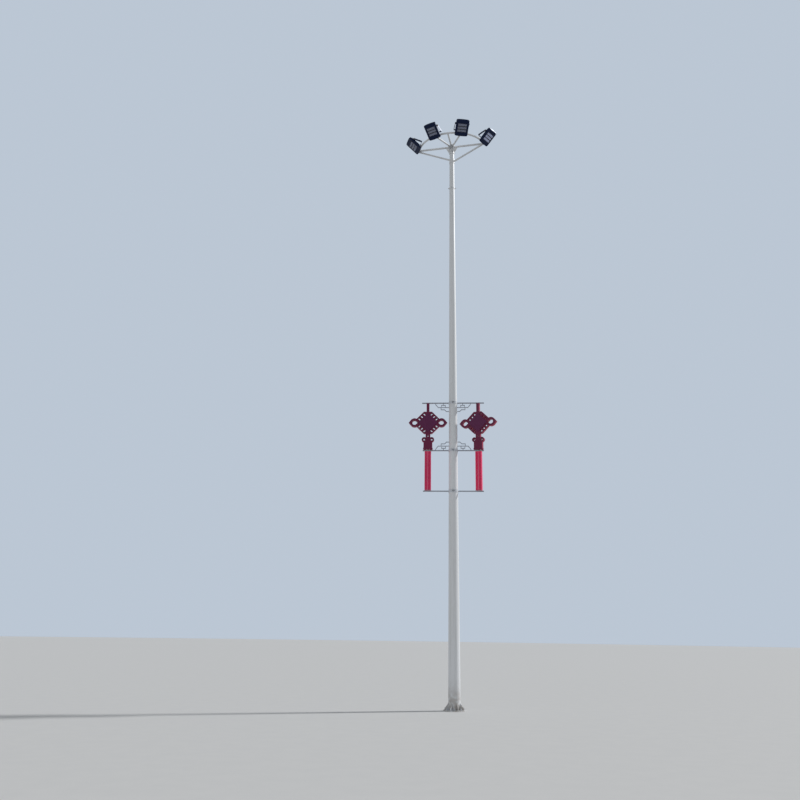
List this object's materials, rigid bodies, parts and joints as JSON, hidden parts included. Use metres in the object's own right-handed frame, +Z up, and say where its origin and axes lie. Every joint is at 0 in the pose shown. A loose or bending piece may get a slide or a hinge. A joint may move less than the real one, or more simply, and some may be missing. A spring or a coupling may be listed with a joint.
{
  "type": "high mast floodlight tower",
  "caption": "Tall tapered round mast with a flanged foot, floodlights in yokes on a half ring at its head, and a pair of red knot ornaments on brackets halfway up.",
  "frame": {"origin": "centre of the foot flange's underside, on the mast's axis", "axes": "+Z up the mast; the ornaments lie along X; the lamps face -Y, with the head turned 9 degrees towards -X"},
  "size_m": [2.3648, 1.2404, 14.1958],
  "materials": {
    "mast_paint": "white gloss paint on steel, dusty",
    "head_paint": "white paint on steel tube, weathered",
    "bracket_paint": "pale grey paint on steel bar",
    "yoke_black": "black powder coat",
    "housing_black": "black powder coat on die-cast aluminium",
    "driver_black": "black powder coat",
    "led_panel": "clear lens plates over pale boards",
    "knot_red": "red translucent plastic, slightly faded",
    "tassel_red": "red fluted plastic"
  },
  "bodies": {
    "mast": {"mast": "mast_paint", "base_flange": "mast_paint", "access_door": "mast_paint", "lug_collar": "head_paint", "head_hub": "head_paint", "head_cap": "head_paint", "side_arm_left": "head_paint", "side_arm_right": "head_paint", "inner_arm_left": "head_paint", "inner_arm_middle": "head_paint", "inner_arm_right": "head_paint", "lamp_ring": "head_paint", "brace_band": "head_paint", "brace_left": "head_paint", "brace_right": "head_paint", "lamp_1_yoke": "yoke_black", "lamp_2_yoke": "yoke_black", "lamp_3_yoke": "yoke_black", "lamp_4_yoke": "yoke_black", "upper_band": "bracket_paint", "middle_band": "bracket_paint", "lower_band": "bracket_paint", "upper_bracket_left": "bracket_paint", "upper_bracket_right": "bracket_paint", "middle_bracket_left": "bracket_paint", "middle_bracket_right": "bracket_paint", "lower_bar_left": "bracket_paint", "lower_bar_right": "bracket_paint", "knot_left": "knot_red", "knot_right": "knot_red", "tassel_left": "tassel_red", "tassel_right": "tassel_red"},
    "lamp_1": {"lamp_1_housing": "housing_black", "lamp_1_driver_box": "driver_black", "lamp_1_led_panel": "led_panel"},
    "lamp_2": {"lamp_2_housing": "housing_black", "lamp_2_driver_box": "driver_black", "lamp_2_led_panel": "led_panel"},
    "lamp_3": {"lamp_3_housing": "housing_black", "lamp_3_driver_box": "driver_black", "lamp_3_led_panel": "led_panel"},
    "lamp_4": {"lamp_4_housing": "housing_black", "lamp_4_driver_box": "driver_black", "lamp_4_led_panel": "led_panel"}
  },
  "joints": [
    {"name": "lamp_1_tilt", "type": "hinge", "parent": "mast", "child": "lamp_1", "pos_m": [-1.04419, -0.07493, 14.12394], "axis": [0.3007, -0.9537, 0], "range_deg": [-50, 3]},
    {"name": "lamp_2_tilt", "type": "hinge", "parent": "mast", "child": "lamp_2", "pos_m": [-0.51863, -0.72394, 14.12394], "axis": [0.8704, -0.4924, 0], "range_deg": [-50, 3]},
    {"name": "lamp_3_tilt", "type": "hinge", "parent": "mast", "child": "lamp_3", "pos_m": [0.26954, -0.84877, 14.12394], "axis": [0.9799, 0.1994, 0], "range_deg": [-50, 3]},
    {"name": "lamp_4_tilt", "type": "hinge", "parent": "mast", "child": "lamp_4", "pos_m": [0.96993, -0.39393, 14.12394], "axis": [0.5807, 0.8141, 0], "range_deg": [-50, 3]}
  ]
}
